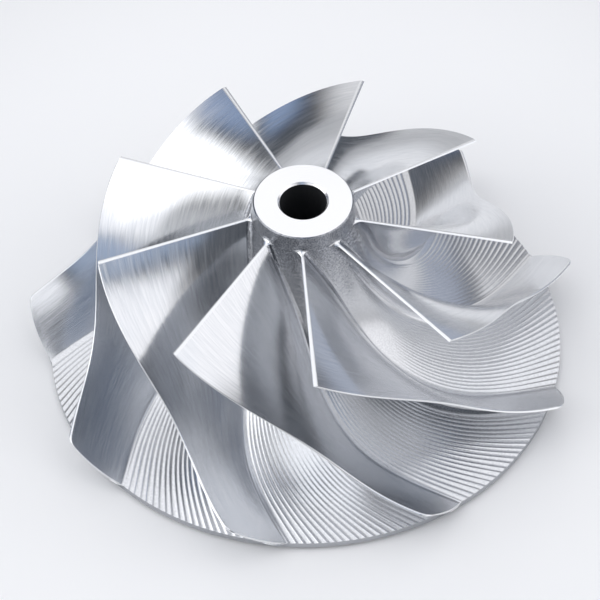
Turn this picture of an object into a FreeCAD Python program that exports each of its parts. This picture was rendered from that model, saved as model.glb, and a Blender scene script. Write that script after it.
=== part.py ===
import FreeCAD, Part
import os
from math import cos, hypot, pi, radians, sin, sqrt, tan

# Compressor wheel of a turbocharger, machined from one billet of aluminium.
# Origin on the axis in the seat plane at the back, +Z to the nose, millimetres and degrees.
# Seen from the nose it turns clockwise, and each blade sweeps back counterclockwise.
# Heights are from the seat plane. The blank is turned first, then the passages are milled.

# Disc and seat at the back
disc_diameter = 68.0
rim_thickness = 1.0
rim_bevel = 0.15
seat_diameter = 17.0
seat_height = 0.4

# Nose and bore
nose_diameter = 12.9
nose_height = 29.0
nose_taper = 8.0
nose_bevel = 0.15
bore_diameter = 6.1
bore_chamfer = 0.25

# Floor of the passages: a steep line down from the blades' leading roots, an arc,
# and a shallow line out to the rim
root_height = 26.8
floor_steepness = 13.3
floor_radius = 21.5
floor_fall = 10.4

# Tip line of the blades, from the leading tips down and out to the trailing tips
inducer_diameter = 54.0
inducer_height = 24.3
tip_drop = 6.9
tip_spread = 0.5
wheel_diameter = 73.9
exit_height = 6.4
tip_run_in = 12.1
tip_rise = 2.8

# Blades. The sweeps are guide angles of the root line and the tip line round the axis,
# from the leading edge to the trailing edge
blade_count = 9
first_blade_angle = -7.7
root_sweep = [-4.7, 49.0, 31.0, 59.3, 71.2]
tip_sweep = [0.0, 23.7, 41.2, 45.4, 61.4]
tip_thickness = 0.3
lead_thickness = 0.4
root_thickness = 1.3
trail_thickness = 0.75
root_flare = 0.9
station_count = 9

# Stock that the cuts go through, so that no two surfaces lie on each other
stock = 0.6
lead_overrun = 0.04
trail_overrun = 0.08
flare_sink = 0.15
root_sink = 0.5
nose_step = 0.05
rim_land = 0.12

origin = FreeCAD.Vector(0, 0, 0)
axis_line = FreeCAD.Vector(0, 0, 1)
disc_radius = disc_diameter / 2
rim_top = seat_height + rim_thickness
bore_radius = bore_diameter / 2
nose_radius = nose_diameter / 2
root_radius = nose_radius + (nose_height - root_height) * tan(radians(nose_taper))


# A point at a radius and a height, turned round the axis
def at(r, z, angle=0.0):
    return FreeCAD.Vector(r * cos(radians(angle)), r * sin(radians(angle)), z)


# Bezier value at u, of guide numbers or guide points
def guided(guides, u):
    row = list(guides)
    while len(row) > 1:
        row = [a * (1 - u) + b * u for a, b in zip(row, row[1:])]
    return row[0]


# The floor's outline in the XZ plane
floor_start = at(root_radius, root_height)
floor_end = at(disc_radius, rim_top)
down = FreeCAD.Vector(sin(radians(floor_steepness)), 0, -cos(radians(floor_steepness)))
out = FreeCAD.Vector(cos(radians(floor_fall)), 0, -sin(radians(floor_fall)))
floor_turn = radians(90 - floor_steepness - floor_fall)
to_corner = (floor_end - floor_start).cross(out).y / down.cross(out).y
corner = floor_start + down * to_corner
steep_end = corner - down * (floor_radius * tan(floor_turn / 2))
shallow_start = corner + out * (floor_radius * tan(floor_turn / 2))
across = FreeCAD.Vector(-down.z, 0, down.x)
arc_centre = steep_end + across * floor_radius
steep_length = (steep_end - floor_start).Length
arc_length = floor_radius * floor_turn
shallow_length = (floor_end - shallow_start).Length
floor_length = steep_length + arc_length + shallow_length


# Point of the arc, at an angle from where the steep line meets it
def on_arc(turned):
    angle = pi + radians(floor_steepness) + turned
    return arc_centre + FreeCAD.Vector(cos(angle), 0, sin(angle)) * floor_radius


# Point of the floor at u, a share of its length, straight on past both ends
def floor_point(u):
    run = u * floor_length
    if run < steep_length:
        return floor_start + down * run
    if run < steep_length + arc_length:
        return on_arc((run - steep_length) / floor_radius)
    return floor_end - out * (floor_length - run)


# Height of the floor at a radius, straight on past both ends
def floor_height(r):
    if r < steep_end.x:
        return floor_start.z - (r - floor_start.x) / tan(radians(floor_steepness))
    if r < shallow_start.x:
        return arc_centre.z - sqrt(floor_radius ** 2 - (arc_centre.x - r) ** 2)
    return floor_end.z - (r - floor_end.x) * tan(radians(floor_fall))


tip_guides = [
    at(inducer_diameter / 2, inducer_height),
    at(inducer_diameter / 2 + tip_spread, inducer_height - tip_drop),
    at(wheel_diameter / 2 - tip_run_in, exit_height + tip_rise),
    at(wheel_diameter / 2, exit_height),
]


def lines(*points):
    return [Part.makeLine(a, b) for a, b in zip(points, points[1:])]


def bezier(points):
    curve = Part.BezierCurve()
    curve.setPoles(points)
    return curve.toShape()


def turned(edges):
    return Part.Face(Part.Wire(edges)).revolve(origin, axis_line, 360)


# What the lathe leaves: back, rim, the blades' envelope, nose and bore
def blank():
    lead = tip_guides[0]
    lead_slope = (root_height - lead.z) / (lead.x - root_radius)
    back = lines(
        at(bore_radius + bore_chamfer, 0),
        at(seat_diameter / 2, 0),
        at(seat_diameter / 2, seat_height),
        at(disc_radius - rim_bevel, seat_height),
        at(disc_radius, seat_height + rim_bevel),
        at(disc_radius, rim_top + rim_land),
        tip_guides[-1],
    )
    front = lines(
        lead,
        at(root_radius - nose_step, root_height + lead_slope * nose_step),
        at(nose_radius, nose_height - nose_bevel),
        at(nose_radius - nose_bevel, nose_height),
        at(bore_radius + bore_chamfer, nose_height),
        at(bore_radius, nose_height - bore_chamfer),
        at(bore_radius, bore_chamfer),
        at(bore_radius + bore_chamfer, 0),
    )
    return turned(back + [bezier(tip_guides[::-1])] + front)


# What stands under the passages, with stock past the nose, the back and the rim
def core():
    past_rim = floor_end + out * stock
    top = nose_height + stock
    arc = Part.Arc(shallow_start, on_arc(floor_turn / 2), steep_end).toBSpline().toShape()
    return turned(
        lines(floor_start, at(root_radius, top), at(0, top), at(0, -stock), at(past_rim.x, -stock), past_rim)
        + lines(past_rim, shallow_start) + [arc] + lines(steep_end, floor_start))


def root_point(u):
    point = floor_point(u)
    return at(point.x, point.z, guided(root_sweep, u))


def tip_point(u):
    point = guided(tip_guides, u)
    return at(point.x, point.z, guided(tip_sweep, u))


# Slide a point along the blade's height until it lies on the floor
def dropped(point, up):
    step = 0.01
    for _ in range(10):
        gap = point.z - floor_height(hypot(point.x, point.y))
        further = point + up * step
        rate = (further.z - floor_height(hypot(further.x, further.y)) - gap) / step
        point = point - up * (gap / rate)
    return point


def floor_normal(point):
    r = hypot(point.x, point.y)
    step = 0.01
    slope = (floor_height(r + step) - floor_height(r - step)) / (2 * step)
    return FreeCAD.Vector(-slope * point.x / r, -slope * point.y / r, 1.0).normalize()


# One flank's corners from the top down: tip, start and end of the flare, underside
def flank(root, top, up, side, thickness):
    foot = dropped(root + side * (thickness / 2), up)
    normal = floor_normal(foot)
    away = (side - up * (side.dot(normal) / up.dot(normal))).normalize()
    rise = (top - foot).normalize()
    flare_end = dropped(foot + away * root_flare, up)
    return [top, foot + rise * root_flare, flare_end - up * flare_sink, foot - up * root_sink]


# Closed outline across the blade at u, in the plane of its height and its thickness
def section(u):
    step = 0.01
    root = root_point(u)
    tip = tip_point(u)
    up = (tip - root).normalize()
    ahead = root_point(u + step) + tip_point(u + step) - root_point(u - step) - tip_point(u - step)
    side = up.cross(ahead).normalize()
    foot = guided([lead_thickness, root_thickness, root_thickness, trail_thickness], u)
    left = flank(root, tip + up * stock + side * (tip_thickness / 2), up, side, foot)
    right = flank(root, tip + up * stock - side * (tip_thickness / 2), up, side * -1, foot)
    return Part.Wire(lines(*left, *right[::-1], left[0]))


def blade():
    span = 1 + lead_overrun + trail_overrun
    stations = [i * span / (station_count - 1) - lead_overrun for i in range(station_count)]
    return Part.makeLoft([section(u) for u in stations], True, False)


def wheel():
    blades = []
    first = blade()
    for i in range(blade_count):
        turned_blade = first.copy()
        turned_blade.rotate(origin, axis_line, first_blade_angle + i * 360 / blade_count)
        blades.append(turned_blade)
    return core().multiFuse(blades).common(blank())


os.makedirs("parts", exist_ok=True)
part = wheel().Solids[0]
print("compressor_wheel: volume", round(part.Volume), "mm3, box", part.BoundBox)
part.exportStep("parts/compressor_wheel.step")
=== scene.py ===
import math
import bpy
import numpy as np
from mathutils import Matrix, Vector


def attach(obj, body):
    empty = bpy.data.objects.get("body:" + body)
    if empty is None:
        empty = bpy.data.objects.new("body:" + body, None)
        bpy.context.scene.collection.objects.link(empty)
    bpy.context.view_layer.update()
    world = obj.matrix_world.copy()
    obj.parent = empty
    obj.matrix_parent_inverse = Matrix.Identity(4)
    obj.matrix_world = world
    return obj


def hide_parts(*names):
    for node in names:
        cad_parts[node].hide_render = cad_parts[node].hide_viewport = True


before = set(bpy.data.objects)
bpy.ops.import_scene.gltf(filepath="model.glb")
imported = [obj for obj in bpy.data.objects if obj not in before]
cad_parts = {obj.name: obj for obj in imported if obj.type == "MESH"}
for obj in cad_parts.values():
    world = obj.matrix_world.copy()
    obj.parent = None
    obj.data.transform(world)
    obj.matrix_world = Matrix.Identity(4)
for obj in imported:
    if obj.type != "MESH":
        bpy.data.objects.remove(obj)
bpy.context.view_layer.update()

mm = 0.001  # a millimetre in metres
probe = 0.01  # millimetres between the points that a slope is taken from

# Sizes of the wheel in millimetres and degrees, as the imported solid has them. The blades' tips and
# leading edges are a few hundredths finer here, and they are crowned by a share of their width.
form = {
    "discDiameter": 68.0, "rimTop": 1.4, "rimBevel": 0.15, "seatDiameter": 17.0, "seatHeight": 0.4,
    "noseDiameter": 12.9, "noseHeight": 29.0, "noseTaper": 8.0, "noseBevel": 0.15,
    "boreDiameter": 6.1, "boreChamfer": 0.25,
    "rootHeight": 26.8, "floorSteepness": 13.3, "floorRadius": 21.5, "floorFall": 10.4,
    "tipLine": [(27.0, 24.3), (27.5, 17.4), (24.85, 9.2), (36.95, 6.4)],
    "bladeCount": 9, "firstBlade": -7.7,
    "rootSweep": [-4.7, 49.0, 31.0, 59.3, 71.2], "tipSweep": [0.0, 23.7, 41.2, 45.4, 61.4],
    "rootThickness": [0.35, 1.3, 1.3, 0.75], "tipThickness": 0.27,
    "filletRadius": 0.8, "filletReach": (0.3, 1.7),
    "trailBulge": 0.3, "tipRound": 0.45, "crown": 0.16,
}
# How finely the surfaces are divided: guide points of a blade and of the tip line, which run on past
# both edges, rows from edge to edge, closer together at the end, and steps across each surface. The
# ball cutter leaves a faint line along the fillets at filletLines. The last three say how wide a
# flank and a passage are in the flow values, and the scale of the map of them.
fineness = {
    "stations": 1601, "span": (-0.07, 1.13), "tipStations": 1251, "tipSpan": (-0.1, 1.15), "slides": 8,
    "rows": 76, "evenTo": 0.98, "lastRows": [0.014, 0.009, 0.0045, 0.0],
    "flankSteps": 12, "filletSteps": 6, "filletLines": [14, 16], "capSteps": 4,
    "coneSteps": [0.15, 0.4, 0.7, 1.0],
    "flankAcross": 14.0, "passageAcross": 24.0, "mapScale": 0.01,
}
# The rows that the ball cutter leaves across a passage, as arcs of the ball's radius. They begin to
# show at one radius of the wheel and have their full depth from another.
cutterRows = {
    "count": 20, "steps": 4, "ballRadius": 1.35, "wander": 0.05, "seed": 4,
    "showFrom": 11.0, "fullFrom": 17.0,
}

noseRadius = form["noseDiameter"] / 2
boreRadius = form["boreDiameter"] / 2
discRadius = form["discDiameter"] / 2
leadRadius, leadHeight = form["tipLine"][0]
exitRadius, exitHeight = form["tipLine"][-1]
taper = math.tan(math.radians(form["noseTaper"]))
rootRadius = noseRadius + (form["noseHeight"] - form["rootHeight"]) * taper
bladePitch = 360 / form["bladeCount"]
steep = math.radians(form["floorSteepness"])
fall = math.radians(form["floorFall"])
floorStart = np.array([rootRadius, form["rootHeight"]])
floorEnd = np.array([discRadius, form["rimTop"]])
down = np.array([math.sin(steep), -math.cos(steep)])
out = np.array([math.cos(fall), -math.sin(fall)])
turn = math.pi / 2 - steep - fall
reach = np.linalg.solve(np.array([down, -out]).T, floorEnd - floorStart)[0]
corner = floorStart + down * reach
steepEnd = corner - down * form["floorRadius"] * math.tan(turn / 2)
shallowStart = corner + out * form["floorRadius"] * math.tan(turn / 2)
arcCentre = steepEnd + np.array([-down[1], down[0]]) * form["floorRadius"]
steepLength = np.linalg.norm(steepEnd - floorStart)
arcLength = form["floorRadius"] * turn
floorLength = steepLength + arcLength + np.linalg.norm(floorEnd - shallowStart)
leadSlope = (form["rootHeight"] - leadHeight) / (leadRadius - rootRadius)
trailSlope = (exitRadius - discRadius) / (exitHeight - form["rimTop"])


def unit(v):
    return v / np.linalg.norm(v, axis=-1, keepdims=True)


def dot(a, b):
    return np.sum(a * b, axis=-1, keepdims=True)


def radius(p):
    return np.hypot(p[..., 0], p[..., 1])


def around(r, z, degrees):
    angle = np.radians(degrees)
    return np.stack(np.broadcast_arrays(r * np.cos(angle), r * np.sin(angle), z), -1)


def turned(p, degrees):
    return around(radius(p), p[..., 2], np.degrees(np.arctan2(p[..., 1], p[..., 0])) + degrees)


def bezier(guides, u):
    row = [np.atleast_1d(np.asarray(g, float)) + 0 * u[:, None] for g in guides]
    while len(row) > 1:
        row = [a * (1 - u[:, None]) + b * u[:, None] for a, b in zip(row, row[1:])]
    return row[0]


# Rises from 0 to 1 in the middle of a share and falls to 0 again.
def bowed(share):
    return 4 * share * (1 - share)


# Radius and height of the floor at u, a share of its length.
def floorLine(u):
    run = (u * floorLength)[:, None]
    angle = math.pi + steep + (run - steepLength) / form["floorRadius"]
    arc = arcCentre + np.concatenate([np.cos(angle), np.sin(angle)], -1) * form["floorRadius"]
    line = np.where(run < steepLength, floorStart + down * run, arc)
    return np.where(run > steepLength + arcLength, floorEnd - out * (floorLength - run), line)


def floorHeight(r):
    arc = arcCentre[1] - np.sqrt(np.maximum(form["floorRadius"] ** 2 - (arcCentre[0] - r) ** 2, 0))
    z = np.where(r < steepEnd[0], floorStart[1] - (r - floorStart[0]) / math.tan(steep), arc)
    return np.where(r > shallowStart[0], floorEnd[1] - (r - floorEnd[0]) * math.tan(fall), z)


def floorSlope(r):
    return (floorHeight(r + probe) - floorHeight(r - probe)) / (2 * probe)


# Slides points along a direction until a height over some surface is zero.
def slid(p, way, over):
    for _ in range(fineness["slides"]):
        gap = over(p)
        rate = (over(p + way * probe) - gap) / probe
        p = p - way * (gap / rate)[..., None]
    return p


tipCurve = bezier(form["tipLine"], np.linspace(*fineness["tipSpan"], fineness["tipStations"]))
tipDirection = unit(np.gradient(tipCurve, axis=0))


# How far a point stands outside the turned envelope of the blades, with rounded trailing tips.
def overTips(p):
    flat = np.stack([radius(p), p[..., 2]], -1)
    near = np.argmin(np.sum((flat[:, None] - tipCurve) ** 2, -1), 1)
    away = flat - tipCurve[near]
    over = away[:, 1] * tipDirection[near, 0] - away[:, 0] * tipDirection[near, 1]
    past = pastTrail(p) / math.hypot(1, trailSlope)
    rounding = form["tipRound"]
    rounded = np.hypot(over + rounding, past + rounding) - rounding
    return np.where((over > -rounding) & (past > -rounding), rounded, over)


def overFloor(p):
    return p[..., 2] - floorHeight(radius(p))


def pastLead(p):
    return p[..., 2] - form["rootHeight"] + (radius(p) - rootRadius) * leadSlope


# Radius of the trailing edges at a height: they bulge between the rim and the tips.
def trailRadius(z):
    share = np.clip((z - form["rimTop"]) / (exitHeight - form["rimTop"]), 0, 1)
    return discRadius + (z - form["rimTop"]) * trailSlope + form["trailBulge"] * bowed(share)


def pastTrail(p):
    return radius(p) - trailRadius(p[..., 2])


# One side of a blade at each u: tip, flank, fillet, floor.
def profile(u, sign):
    root = floorLine(u)
    tip = bezier(form["tipLine"], u)
    root = around(root[:, 0], root[:, 1], bezier(form["rootSweep"], u)[:, 0])
    tip = around(tip[:, 0], tip[:, 1], bezier(form["tipSweep"], u)[:, 0])
    up = unit(tip - root)
    side = unit(np.cross(up, np.gradient(root + tip, axis=0))) * sign
    foot = slid(root + side * bezier(form["rootThickness"], u) / 2, up, overFloor)
    top = tip + side * form["tipThickness"] / 2
    rise = unit(top - foot)
    top = slid(top, rise, overTips)
    r = radius(foot)[:, None]
    slope = floorSlope(r)
    normal = unit(np.concatenate([-slope * foot[:, :1] / r, -slope * foot[:, 1:2] / r, 1 + 0 * r], -1))
    away = unit(side - up * dot(side, normal) / dot(up, normal))
    half = np.arccos(np.clip(dot(rise, away), -1, 1)) / 2
    size = np.clip(form["filletRadius"] / np.tan(half), *form["filletReach"])
    start = foot + rise * size
    end = slid(foot + away * size, up, overFloor)
    points = [top + (start - top) * v for v in np.linspace(0, 1, fineness["flankSteps"] + 1)]
    weight = np.sin(half)
    for t in np.linspace(0, 1, fineness["filletSteps"] + 1)[1:]:
        a, b, c = (1 - t) ** 2, 2 * t * (1 - t) * weight, t * t
        points.append((a * start + b * foot + c * end) / (a + b + c))
    return np.array(points)


# The profile cut at the leading and the trailing cones, with its points on rows between them.
def trimmed(sign):
    table = profile(np.linspace(*fineness["span"], fineness["stations"]), sign)
    even = np.linspace(0, fineness["evenTo"], fineness["rows"] + 1 - len(fineness["lastRows"]))
    shares = np.append(even, 1 - np.array(fineness["lastRows"]))
    cut = []
    for line in table:
        lead, trail = pastLead(line), pastTrail(line)
        i = np.nonzero((lead[:-1] > 0) & (lead[1:] <= 0))[0][0]
        j = np.nonzero((trail[:-1] < 0) & (trail[1:] >= 0))[0][-1]
        first = i + lead[i] / (lead[i] - lead[i + 1])
        last = j + trail[j] / (trail[j] - trail[j + 1])
        at = first + (last - first) * shares
        k = np.minimum(at.astype(int), len(line) - 2)
        cut.append(line[k] + (line[k + 1] - line[k]) * (at - k)[:, None])
    return np.array(cut).transpose(1, 0, 2)


# Angles of two lines of points round the axis, in degrees, the second within half a turn of the first.
def angles(p, q):
    a = np.degrees(np.arctan2(p[..., 1], p[..., 0]))
    b = np.degrees(np.arctan2(q[..., 1], q[..., 0]))
    return a, np.where(b < a - 180, b + 360, np.where(b > a + 180, b - 360, b))


# The floor between two blades, with a shallow arc for each pass of the cutter.
def floorGrid(p, q):
    rng = np.random.default_rng(cutterRows["seed"])
    ends = np.arange(cutterRows["count"] + 1.0)
    ends[1:-1] += rng.uniform(-1, 1, cutterRows["count"] - 1) * cutterRows["wander"]
    step = np.arange(cutterRows["steps"]) / cutterRows["steps"]
    share = ((ends[:-1, None] + np.diff(ends)[:, None] * step).ravel() / cutterRows["count"])[1:]
    bowl = np.tile(bowed(step), cutterRows["count"])[1:]
    fromRadius, toRadius = radius(p)[:, None], radius(q)[:, None]
    fromAngle, toAngle = (angle[:, None] for angle in angles(p, q))
    width = np.linalg.norm(q - p, axis=-1)[:, None] / cutterRows["count"]
    fading = cutterRows["fullFrom"] - cutterRows["showFrom"]
    shown = np.clip((fromRadius - cutterRows["showFrom"]) / fading, 0, 1)
    depth = width ** 2 / (8 * cutterRows["ballRadius"]) * bowl * shown
    r = fromRadius + (toRadius - fromRadius) * share
    slope = floorSlope(r)
    tilt = np.sqrt(1 + slope ** 2)
    z = floorHeight(r) - depth / tilt
    r = r + depth * slope / tilt
    r[0], z[0], r[-1] = rootRadius, form["rootHeight"], discRadius  # round the cone's foot and the rim
    return around(r, z, fromAngle + (toAngle - fromAngle) * share)


# The narrow face at a blade's leading or trailing edge, a little crowned by the brush that takes
# the burrs off.
def capGrid(p, q, lead):
    share = np.linspace(0, 1, fineness["capSteps"] + 1)[1:-1, None]
    fromAngle, toAngle = angles(p, q)
    r = radius(p) + (radius(q) - radius(p)) * share
    z = p[:, 2] + (q[:, 2] - p[:, 2]) * share
    crown = form["crown"] * np.linalg.norm(q - p, axis=-1) * bowed(share)
    if lead:
        tilt = math.hypot(1, leadSlope)
        z = form["rootHeight"] - (r - rootRadius) * leadSlope + crown / tilt
        r = r + crown * leadSlope / tilt
    else:
        r = trailRadius(z) + crown - form["crown"] * form["tipThickness"]
    return around(r, z, fromAngle + (toAngle - fromAngle) * share)


# The narrow face along a blade's tip line, crowned in the same way.
def crestGrid(p, q):
    share = np.linspace(0, 1, fineness["capSteps"] + 1)[1:-1]
    fromAngle, toAngle = (angle[:, None] for angle in angles(p, q))
    middle = (p + q) / 2
    along = unit(np.gradient(np.stack([radius(middle), middle[:, 2]], -1), axis=0))
    crown = form["crown"] * np.linalg.norm(q - p, axis=-1)[:, None] * bowed(share)
    r = radius(p)[:, None] + (radius(q) - radius(p))[:, None] * share - along[:, 1:] * crown
    z = p[:, 2:] + (q[:, 2] - p[:, 2])[:, None] * share + along[:, :1] * crown
    return around(r, z, fromAngle + (toAngle - fromAngle) * share)


# The whole wheel as closed quads: corner points, faces, the number of each face's surface, the flow
# values (along the stream, across it, blade number) and the edges that stay crisp.
def wheelSurface(surfaces):
    leftSide, rightSide = trimmed(1), trimmed(-1)
    passage = floorGrid(leftSide[:, -1], turned(rightSide[:, -1], bladePitch))
    leadCap = capGrid(rightSide[0], leftSide[0], True)
    trailCap = capGrid(rightSide[-1], leftSide[-1], False)
    crest = crestGrid(rightSide[1:-1, 0], leftSide[1:-1, 0])
    verts, flows, faces, kinds, crisp = [], [], [], [], []

    def add(points, flow=None):
        first = sum(len(v) for v in verts)
        verts.append(points.reshape(-1, 3))
        flows.append(np.zeros_like(verts[-1]) if flow is None else flow.reshape(-1, 3))
        return np.arange(first, first + len(verts[-1])).reshape(points.shape[:-1])

    def skin(a, b, kind):
        faces.append(np.stack([a[:-1], b[:-1], b[1:], a[1:]], -1))
        kinds.append(np.full(len(a) - 1, surfaces.index(kind)))

    def keep(line):
        crisp.append(np.stack([line[:-1], line[1:]], -1))

    # Flow values of a grid with one row for each step downstream.
    def flowOf(grid, across, number):
        along = np.linspace(0, floorLength, len(grid))[:, None]
        return np.stack(np.broadcast_arrays(along, across, float(number)), -1)

    leftAcross = np.linspace(-fineness["flankAcross"], 0, leftSide.shape[1])
    rightAcross = fineness["passageAcross"] - leftAcross
    passageAcross = np.linspace(0, fineness["passageAcross"], passage.shape[1] + 2)[1:-1]
    blades = []
    for number in range(form["bladeCount"]):
        angle = form["firstBlade"] + number * bladePitch
        blade = {
            "left": add(turned(leftSide, angle), flowOf(leftSide, leftAcross, number)),
            "right": add(turned(rightSide, angle), flowOf(rightSide, rightAcross, number - 0.5)),
            "floor": add(turned(passage, angle), flowOf(passage, passageAcross, number)),
            "lead": add(turned(leadCap, angle)),
            "trail": add(turned(trailCap, angle)),
        }
        tips = add(turned(crest, angle))
        blade["crest"] = np.vstack([blade["lead"][:, 0], tips, blade["trail"][:, 0]])
        blades.append(blade)

    for blade, after in zip(blades, blades[1:] + blades[:1]):
        left, right = blade["left"], blade["right"]
        columns = [*left.T, *blade["floor"].T, *after["right"].T[::-1]]
        for i, (a, b) in enumerate(zip(columns, columns[1:])):
            below = min(i, len(columns) - 2 - i)
            onBlade = "flank" if below < fineness["flankSteps"] else "fillet"
            skin(b, a, onBlade if below < left.shape[1] - 1 else "floor")
        strips = [
            ([right[:, 0], *blade["crest"].T, left[:, 0]], True),
            ([right[0], *blade["lead"], left[0]], False),
            ([right[-1], *blade["trail"], left[-1]], True),
        ]
        for lines, flipped in strips:
            for a, b in zip(lines, lines[1:]):
                skin(*((b, a) if flipped else (a, b)), "edge")
        for side in (left, right):
            for line in (side[:, 0], side[:, -1], side[0], side[-1], *side.T[fineness["filletLines"]]):
                keep(line)
        for cap, row in (("lead", 0), ("trail", -1)):
            keep(np.concatenate([right[row, :1], blade[cap][:, 0], left[row, :1]]))
        for line in blade["floor"].T[cutterRows["steps"] - 1::cutterRows["steps"]]:
            keep(line)

    # The points round the leading or the trailing end of all the blades and passages.
    def ringAt(row, cap):
        parts = [(b["right"][row, -1:], b[cap][:, -1], b["left"][row, -1:], b["floor"][row]) for b in blades]
        return np.concatenate([ids for part in parts for ids in part])

    # Carries a ring of points round the turned outline, one face strip for each step, of the
    # surface that the step names. Steps marked soft run on into the next one without an edge.
    def goRound(ring, outline, inward):
        points = np.concatenate(verts)[ring]
        theta = np.degrees(np.arctan2(points[:, 1], points[:, 0]))
        for r, z, kind, soft in outline:
            new = add(around(r, z, theta))
            a, b = (new, ring) if inward else (ring, new)
            skin(np.append(a, a[0]), np.append(b, b[0]), kind)
            if not soft:
                keep(np.append(new, new[0]))
            ring = new
        return ring, theta

    bevel, noseBevel, chamfer = form["rimBevel"], form["noseBevel"], form["boreChamfer"]
    seatHeight, seatRadius, top = form["seatHeight"], form["seatDiameter"] / 2, form["noseHeight"]
    rimRing = ringAt(-1, "trail")
    keep(np.append(rimRing, rimRing[0]))
    back, backTheta = goRound(rimRing, [
        (discRadius, seatHeight + bevel, "rim", False), (discRadius - bevel, seatHeight, "rim", False),
        (seatRadius, seatHeight, "turned", False), (seatRadius, 0.0, "turned", False),
        (boreRadius + chamfer, 0.0, "turned", False), (boreRadius, chamfer, "turned", False),
    ], False)
    coneHeight = top - noseBevel - form["rootHeight"]
    cone = [
        (rootRadius - coneHeight * taper * share, form["rootHeight"] + coneHeight * share, "nose", share < 1)
        for share in fineness["coneSteps"]
    ]
    front, frontTheta = goRound(ringAt(0, "lead"), cone + [
        (noseRadius - noseBevel, top, "nose", False), (boreRadius + chamfer, top, "turned", False),
        (boreRadius, top - chamfer, "turned", False),
    ], True)
    shift = np.argmin(np.abs((backTheta - frontTheta[0] + 180) % 360 - 180))
    back = np.roll(back, -shift)
    skin(np.append(back, back[0]), np.append(front, front[0]), "bore")
    return [np.concatenate(x) for x in (verts, faces, kinds, flows, crisp)]


# Whole numbers that name the edges between pairs of points, whichever way the pairs run.
def edgeKeys(pairs, pointCount):
    pairs = np.asarray(pairs, np.int64)
    return pairs.min(1) * pointCount + pairs.max(1)


def buildWheel(materials):
    verts, faces, kinds, flow, crisp = wheelSurface(list(materials))
    surface = bpy.data.meshes.new("wheel")
    surface.from_pydata((verts * mm).tolist(), [], faces.tolist())
    surface.polygons.foreach_set("material_index", kinds.astype(np.int32))
    surface.polygons.foreach_set("use_smooth", np.ones(len(faces), bool))
    edges = np.empty(len(surface.edges) * 2, np.int32)
    surface.edges.foreach_get("vertices", edges)
    sharp = np.isin(edgeKeys(edges.reshape(-1, 2), len(verts)), edgeKeys(crisp, len(verts)))
    surface.attributes.new("sharp_edge", "BOOLEAN", "EDGE").data.foreach_set("value", sharp)
    flowField = surface.attributes.new("flow", "FLOAT_VECTOR", "POINT")
    flowField.data.foreach_set("vector", flow.astype(np.float32).ravel())
    corners = np.empty(len(surface.loops), np.int32)
    surface.loops.foreach_get("vertex_index", corners)
    flowMap = surface.uv_layers.new(name="flowMap")
    flowMap.data.foreach_set("uv", (flow[corners, :2] * fineness["mapScale"]).astype(np.float32).ravel())
    for material in materials.values():
        surface.materials.append(material)
    surface.update()
    wheel = bpy.data.objects.new("wheel", surface)
    bpy.context.scene.collection.objects.link(wheel)
    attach(wheel, "root")
    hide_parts("compressor_wheel")
    print("wheel built,", len(faces) * 2, "triangles")


# A colour as #rrggbb, as the scene's linear values.
def colour(text):
    values = [int(text[i:i + 2], 16) / 255 for i in (1, 3, 5)]
    return [v / 12.92 if v <= 0.04045 else ((v + 0.055) / 1.055) ** 2.4 for v in values] + [1.0]


# Links what is a socket to a node's inputs, and sets the rest.
def connect(tree, made, inputs):
    named = inputs if isinstance(inputs, dict) else dict(enumerate(inputs))
    for name, value in named.items():
        if isinstance(value, bpy.types.NodeSocket):
            tree.links.new(value, made.inputs[name])
        else:
            made.inputs[name].default_value = value


# Adds a node with its settings and links, and gives its output.
def node(tree, kind, inputs=(), output=0, **settings):
    made = tree.nodes.new(kind)
    for name, value in settings.items():
        setattr(made, name, value)
    connect(tree, made, inputs)
    return made.outputs[output]


def newMaterial(name, base, roughness):
    material = bpy.data.materials.new(name)
    material.use_nodes = True
    tree = material.node_tree
    shader = tree.nodes["Principled BSDF"]
    connect(tree, shader, {"Base Color": colour(base), "Roughness": roughness})
    return material, tree, shader


# A Mix node of colours takes its share in 0 and the colours in 6 and 7, and gives the mix in 2.
shareIn, firstIn, secondIn, mixOut = 0, 6, 7, 2
bladeApart = 0.137  # third size of the patterns that follow the flow, so that no two blades match
noiseMiddle = (0.34, 0.66)  # the middle of a noise, stretched to the whole of 0 to 1
quarterTurn = 0.25  # lays the spread of a highlight across the tool's marks

# Aluminium of the blades, side milled: bright and fairly smooth, with fine streaks along the stream
# that feather the ends of its reflections. The real hairlines are about 0.03 mm wide and a pixel is
# 0.13 mm, so they are drawn coarser, as tone. For each mark: its length and width in millimetres
# and its detail.
flank = {
    "dark": "#dcdee1", "light": "#e7e8ea", "smoothest": 0.14, "roughest": 0.22, "spread": 0.4,
    "marks": {"hairs": (3.5, 0.1, 2.0), "streaks": (4.5, 0.15, 2.0), "waves": (9.0, 1.6, 1.0)},
    "streakDepth": 0.0042, "waveDepth": 0.012,
}


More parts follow.
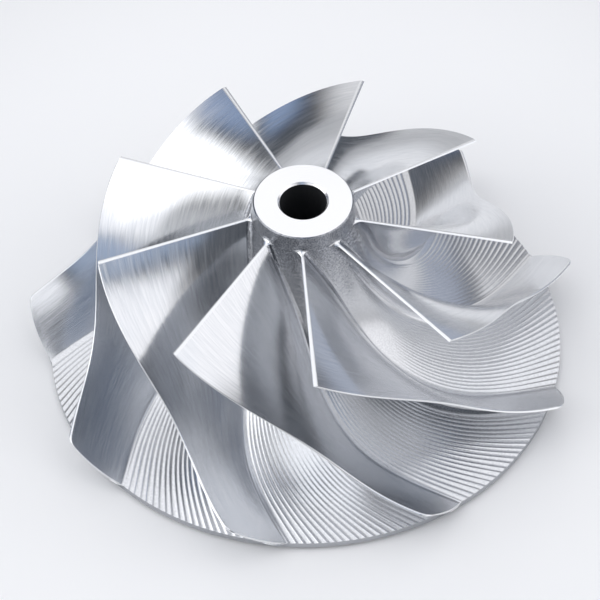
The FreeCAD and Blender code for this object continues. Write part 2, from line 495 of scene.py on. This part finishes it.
def flankMaterial():
    material, tree, shader = newMaterial("side_milled_aluminium", flank["light"], flank["smoothest"])
    flow = node(tree, "ShaderNodeAttribute", output="Vector", attribute_name="flow")
    marks = {}
    for name, (length, width, detail) in flank["marks"].items():
        scaled = (flow, (1 / length, 1 / width, 1 / bladeApart))
        scaled = node(tree, "ShaderNodeVectorMath", scaled, operation="MULTIPLY")
        noise = {"Vector": scaled, "Scale": 1.0, "Detail": detail}
        marks[name] = node(tree, "ShaderNodeTexNoise", noise, "Fac")
    hairs = node(tree, "ShaderNodeMapRange", (marks["hairs"], *noiseMiddle))
    tone = {shareIn: hairs, firstIn: colour(flank["dark"]), secondIn: colour(flank["light"])}
    worn = (marks["streaks"], *noiseMiddle, flank["smoothest"], flank["roughest"])
    waves = {"Height": marks["waves"], "Distance": flank["waveDepth"] * mm}
    streaks = {"Height": marks["streaks"], "Distance": flank["streakDepth"] * mm}
    streaks["Normal"] = node(tree, "ShaderNodeBump", waves)
    connect(tree, shader, {
        "Metallic": 1.0, "Anisotropic": flank["spread"], "Anisotropic Rotation": quarterTurn,
        "Tangent": node(tree, "ShaderNodeTangent", direction_type="UV_MAP", uv_map="flowMap"),
        "Base Color": node(tree, "ShaderNodeMix", tone, mixOut, data_type="RGBA"),
        "Roughness": node(tree, "ShaderNodeMapRange", worn),
        "Normal": node(tree, "ShaderNodeBump", streaks),
    })
    return material


# Aluminium of the hub, ball milled: the cutter's rows are in the mesh, and its feed leaves a fine
# grain that blurs what they mirror. Towards the nose and on its cone the surface is darker and
# mottled. The real feed marks are about 0.1 mm apart and are drawn coarser, so that they show.
hub = {
    "dark": "#d4d5d8", "light": "#e0e1e3", "noseDark": "#75787f", "noseLight": "#b0b2b7", "noseTo": 13.0,
    "speckle": (0.19, 0.19, 0.19), "mottle": (0.5, 0.5, 0.5), "grain": (0.34, 0.2, bladeApart),
    "detail": 2.0, "mottleDepth": 0.06, "grainDepth": 0.004,
    "filletRoughness": 0.2, "rowRoughness": 0.22, "noseRoughness": 0.28,
}


def hubMaterial(name, roughness):
    material, tree, shader = newMaterial(name, hub["light"], roughness)
    flow = node(tree, "ShaderNodeAttribute", output="Vector", attribute_name="flow")
    place = node(tree, "ShaderNodeTexCoord", output="Object")
    place = node(tree, "ShaderNodeVectorMath", {"Vector": place, "Scale": 1 / mm}, operation="SCALE")
    marks = {}
    for mark, over in (("speckle", place), ("mottle", place), ("grain", flow)):
        scaled = (over, [1 / size for size in hub[mark]])
        scaled = node(tree, "ShaderNodeVectorMath", scaled, operation="MULTIPLY")
        noise = {"Vector": scaled, "Scale": 1.0, "Detail": hub["detail"]}
        marks[mark] = node(tree, "ShaderNodeTexNoise", noise, "Fac")
    along = node(tree, "ShaderNodeSeparateXYZ", (flow,))
    nearNose = node(tree, "ShaderNodeMapRange", (along, 0.0, hub["noseTo"], 1.0, 0.0))
    dark = {shareIn: nearNose, firstIn: colour(hub["dark"]), secondIn: colour(hub["noseDark"])}
    light = {shareIn: nearNose, firstIn: colour(hub["light"]), secondIn: colour(hub["noseLight"])}
    tone = {
        shareIn: node(tree, "ShaderNodeMapRange", (marks["speckle"], *noiseMiddle)),
        firstIn: node(tree, "ShaderNodeMix", dark, mixOut, data_type="RGBA"),
        secondIn: node(tree, "ShaderNodeMix", light, mixOut, data_type="RGBA"),
    }
    mottle = node(tree, "ShaderNodeMath", (marks["mottle"], nearNose), operation="MULTIPLY")
    mottle = node(tree, "ShaderNodeBump", {"Height": mottle, "Distance": hub["mottleDepth"] * mm})
    grain = {"Height": marks["grain"], "Distance": hub["grainDepth"] * mm, "Normal": mottle}
    connect(tree, shader, {
        "Metallic": 1.0,
        "Base Color": node(tree, "ShaderNodeMix", tone, mixOut, data_type="RGBA"),
        "Normal": node(tree, "ShaderNodeBump", grain),
    })
    return material


# Turned aluminium of the nose face, the back, the rim and the blades' edges: fine rings round the
# axis draw the highlights out. The real feed is about 0.08 mm a turn, and the rings are drawn coarser
# so that they show. The rim is duller, and the reamed bore is duller still. The bore's colour is also
# painted darker, as painted shade inside the hole. Each has its colour and its roughness.
lathe = {
    # The bore's dark grey is painted shade inside the hole. Its roughness is its own dull finish.
    "face": ("#f4f4f5", 0.26), "edge": ("#ecedef", 0.26), "rim": ("#b6b8bc", 0.36), "bore": ("#7d7f83", 0.42),
    "ringPitch": 0.3, "ringDepth": 0.0016, "spread": 0.3,
}


def turnedMaterial(name, base, roughness):
    material, tree, shader = newMaterial(name, base, roughness)
    place = node(tree, "ShaderNodeTexCoord", output="Object")
    flat = node(tree, "ShaderNodeVectorMath", (place, (1, 1, 0)), operation="MULTIPLY")
    fromAxis = node(tree, "ShaderNodeVectorMath", (flat,), "Value", operation="LENGTH")
    turns = (fromAxis, 2 * math.pi / (lathe["ringPitch"] * mm))
    turns = node(tree, "ShaderNodeMath", turns, operation="MULTIPLY")
    rings = node(tree, "ShaderNodeMath", (turns,), operation="SINE")
    connect(tree, shader, {
        "Metallic": 1.0, "Anisotropic": lathe["spread"], "Anisotropic Rotation": quarterTurn,
        "Tangent": node(tree, "ShaderNodeTangent", direction_type="RADIAL", axis="Z"),
        "Normal": node(tree, "ShaderNodeBump", {"Height": rings, "Distance": lathe["ringDepth"] * mm}),
    })
    return material


materials = {
    "flank": flankMaterial(),
    "fillet": hubMaterial("ball_milled_fillet", hub["filletRoughness"]),
    "floor": hubMaterial("ball_milled_hub", hub["rowRoughness"]),
    "turned": turnedMaterial("turned_aluminium", *lathe["face"]),
    # This material paints the shade inside the bore as a dark colour.
    "bore": turnedMaterial("reamed_bore_painted_shade", *lathe["bore"]),
    "nose": hubMaterial("milled_nose", hub["noseRoughness"]),
    "edge": turnedMaterial("turned_edges", *lathe["edge"]),
    "rim": turnedMaterial("turned_rim", *lathe["rim"]),
}
print("materials made:", ", ".join(materials))
buildWheel(materials)

# A tent of dim cloth round the wheel, lit in soft panels. For each panel: its colour and radiance,
# the heading of its middle, half its width and how gradually its sides end, its lower and upper ends
# and how gradually they end, in degrees round the wheel from +X and above the floor. The two blue
# panels tint the blades' leading tips.
tent = {
    "cloth": "#555960",
    "panels": {
        "top": ("#fafbff", 1.21, 93, 158, 12, 38, 120, 11),
        "left": ("#fbfcff", 1.25, 191, 26, 12, -90, 67, 19),
        "right": ("#fcfcff", 1.22, 348, 39, 26, -90, 60, 20),
        "back": ("#fcfcff", 0.9, 100, 23, 18, -90, 45, 20),
        "front": ("#f7faff", 0.82, 249, 12, 23, -90, 60, 20),
        "frontLeft": ("#f8faff", 0.64, 236, 11, 14, -90, 42, 20),
        "farRight": ("#dfe8fb", 0.62, 51, 23, 20, -90, 29, 20),
        "blueFront": ("#bfd1ed", 0.76, 268, 18, 18, 36, 80, 14),
        "blueLeft": ("#b2c9ef", 0.66, 145, 12, 16, 14, 45, 16),
    },
}


def lightTent():
    world = bpy.data.worlds.new("tent")
    world.use_nodes = True
    tree = world.node_tree
    way = node(tree, "ShaderNodeTexCoord", output="Generated")
    axes = node(tree, "ShaderNodeSeparateXYZ", (way,)).node.outputs
    heading = node(tree, "ShaderNodeMath", (axes["Y"], axes["X"]), operation="ARCTAN2")
    heading = node(tree, "ShaderNodeMath", (heading, math.degrees(1)), operation="MULTIPLY")
    above = node(tree, "ShaderNodeMath", (axes["Z"],), operation="ARCSINE")
    above = node(tree, "ShaderNodeMath", (above, math.degrees(1)), operation="MULTIPLY")
    light = colour(tent["cloth"])[:3]
    for hue, radiance, facing, half, soft, low, high, edge in tent["panels"].values():
        off = node(tree, "ShaderNodeMath", (heading, float(facing)), operation="SUBTRACT")
        off = node(tree, "ShaderNodeMath", (off, 180.0, -180.0), operation="WRAP")
        off = node(tree, "ShaderNodeMath", (off,), operation="ABSOLUTE")
        ends = [
            (off, half, soft / 2, radiance, 0.0),
            (above, low, edge / 2, 0.0, 1.0),
            (above, high, edge / 2, 1.0, 0.0),
        ]
        level = 1.0
        for value, end, margin, before, after in ends:
            ramp = (value, end - margin, end + margin, before, after)
            ramp = node(tree, "ShaderNodeMapRange", ramp, interpolation_type="SMOOTHSTEP")
            level = node(tree, "ShaderNodeMath", (level, ramp), operation="MULTIPLY")
        lit = {"Vector": colour(hue)[:3], "Scale": level}
        lit = node(tree, "ShaderNodeVectorMath", lit, operation="SCALE")
        light = node(tree, "ShaderNodeVectorMath", (light, lit), operation="MAXIMUM")
    connect(tree, tree.nodes["Background"], {"Color": light})
    bpy.context.scene.world = world


# One softbox at the left, in metres and degrees, for the soft white on the blades there.
softbox = {"radiance": 0.55, "azimuth": 192, "elevation": 33, "away": 1.5, "wide": 1.42, "high": 1.95}


def leftSoftbox():
    light = bpy.data.lights.new("softbox", "AREA")
    light.shape = "RECTANGLE"
    light.size, light.size_y = softbox["wide"], softbox["high"]
    light.energy = softbox["radiance"] * softbox["wide"] * softbox["high"] * math.pi
    lamp = bpy.data.objects.new("softbox", light)
    azimuth, elevation = math.radians(softbox["azimuth"]), math.radians(softbox["elevation"])
    flat = math.cos(elevation)
    way = Vector((math.cos(azimuth) * flat, math.sin(azimuth) * flat, math.sin(elevation)))
    lamp.location = way * softbox["away"]
    lamp.rotation_euler = lamp.location.to_track_quat("Z", "Y").to_euler()
    bpy.context.scene.collection.objects.link(lamp)


# Matt paper under the wheel, with a painted pool of light: pale round it and softly greyer further
# out, as painted shade where the backs of the blades mirror it. Its distances from the axis are in
# millimetres and its width is in metres.
paper = {
    "near": "#f5f5f5", "far": "#c2c2c2", "paleTo": 55.0, "greyFrom": 150.0, "roughness": 0.9, "width": 12.0,
}


def paperFloorWithPaintedPool():
    material, tree, shader = newMaterial("paper_floor_painted_light_pool", paper["near"], paper["roughness"])
    place = node(tree, "ShaderNodeTexCoord", output="Object")
    fromAxis = node(tree, "ShaderNodeVectorMath", (place,), "Value", operation="LENGTH")
    away = (fromAxis, paper["paleTo"] * mm, paper["greyFrom"] * mm)
    away = node(tree, "ShaderNodeMapRange", away, interpolation_type="SMOOTHSTEP")
    # Painted pool of light: the paper is pale near the axis and painted greyer further out.
    tone = {shareIn: away, firstIn: colour(paper["near"]), secondIn: colour(paper["far"])}
    connect(tree, shader, {"Base Color": node(tree, "ShaderNodeMix", tone, mixOut, data_type="RGBA")})
    half = paper["width"] / 2
    sheet = bpy.data.meshes.new("floor")
    corners = [(-half, -half, 0), (half, -half, 0), (half, half, 0), (-half, half, 0)]
    sheet.from_pydata(corners, [], [(0, 1, 2, 3)])
    sheet.materials.append(material)
    floor = bpy.data.objects.new("floor", sheet)
    bpy.context.scene.collection.objects.link(floor)


lightTent()
leftSoftbox()
paperFloorWithPaintedPool()
print("tent, softbox and floor placed")

# The camera, worked out from the photograph, in millimetres and degrees. It sees from near to far, in
# metres.
view = {
    "target": (-0.66, 0.0, 9.58), "distance": 477.65, "elevation": 49.166, "roll": -1.143,
    "lens": 216.98, "sensor": 36.0, "near": 0.01, "far": 50.0,
}


def placeCamera():
    cameraData = bpy.data.cameras.new("camera")
    cameraData.sensor_width, cameraData.lens = view["sensor"], view["lens"]
    cameraData.clip_start, cameraData.clip_end = view["near"], view["far"]
    camera = bpy.data.objects.new("camera", cameraData)
    tilt = math.radians(view["elevation"])
    back = Vector((0, -math.cos(tilt), math.sin(tilt)))
    place = (Vector(view["target"]) + back * view["distance"]) * mm
    roll = Matrix.Rotation(math.radians(view["roll"]), 4, "Z")
    camera.matrix_world = Matrix.Translation(place) @ Matrix.Rotation(math.pi / 2 - tilt, 4, "X") @ roll
    bpy.context.scene.collection.objects.link(camera)
    bpy.context.scene.camera = camera


placeCamera()
bpy.context.scene.view_settings.view_transform = "Standard"
# Light goes to and fro many times between the blades before it leaves a passage.
bounces = {"all": 16, "glossy": 14}
bpy.context.scene.cycles.max_bounces = bounces["all"]
bpy.context.scene.cycles.glossy_bounces = bounces["glossy"]
print("camera placed")
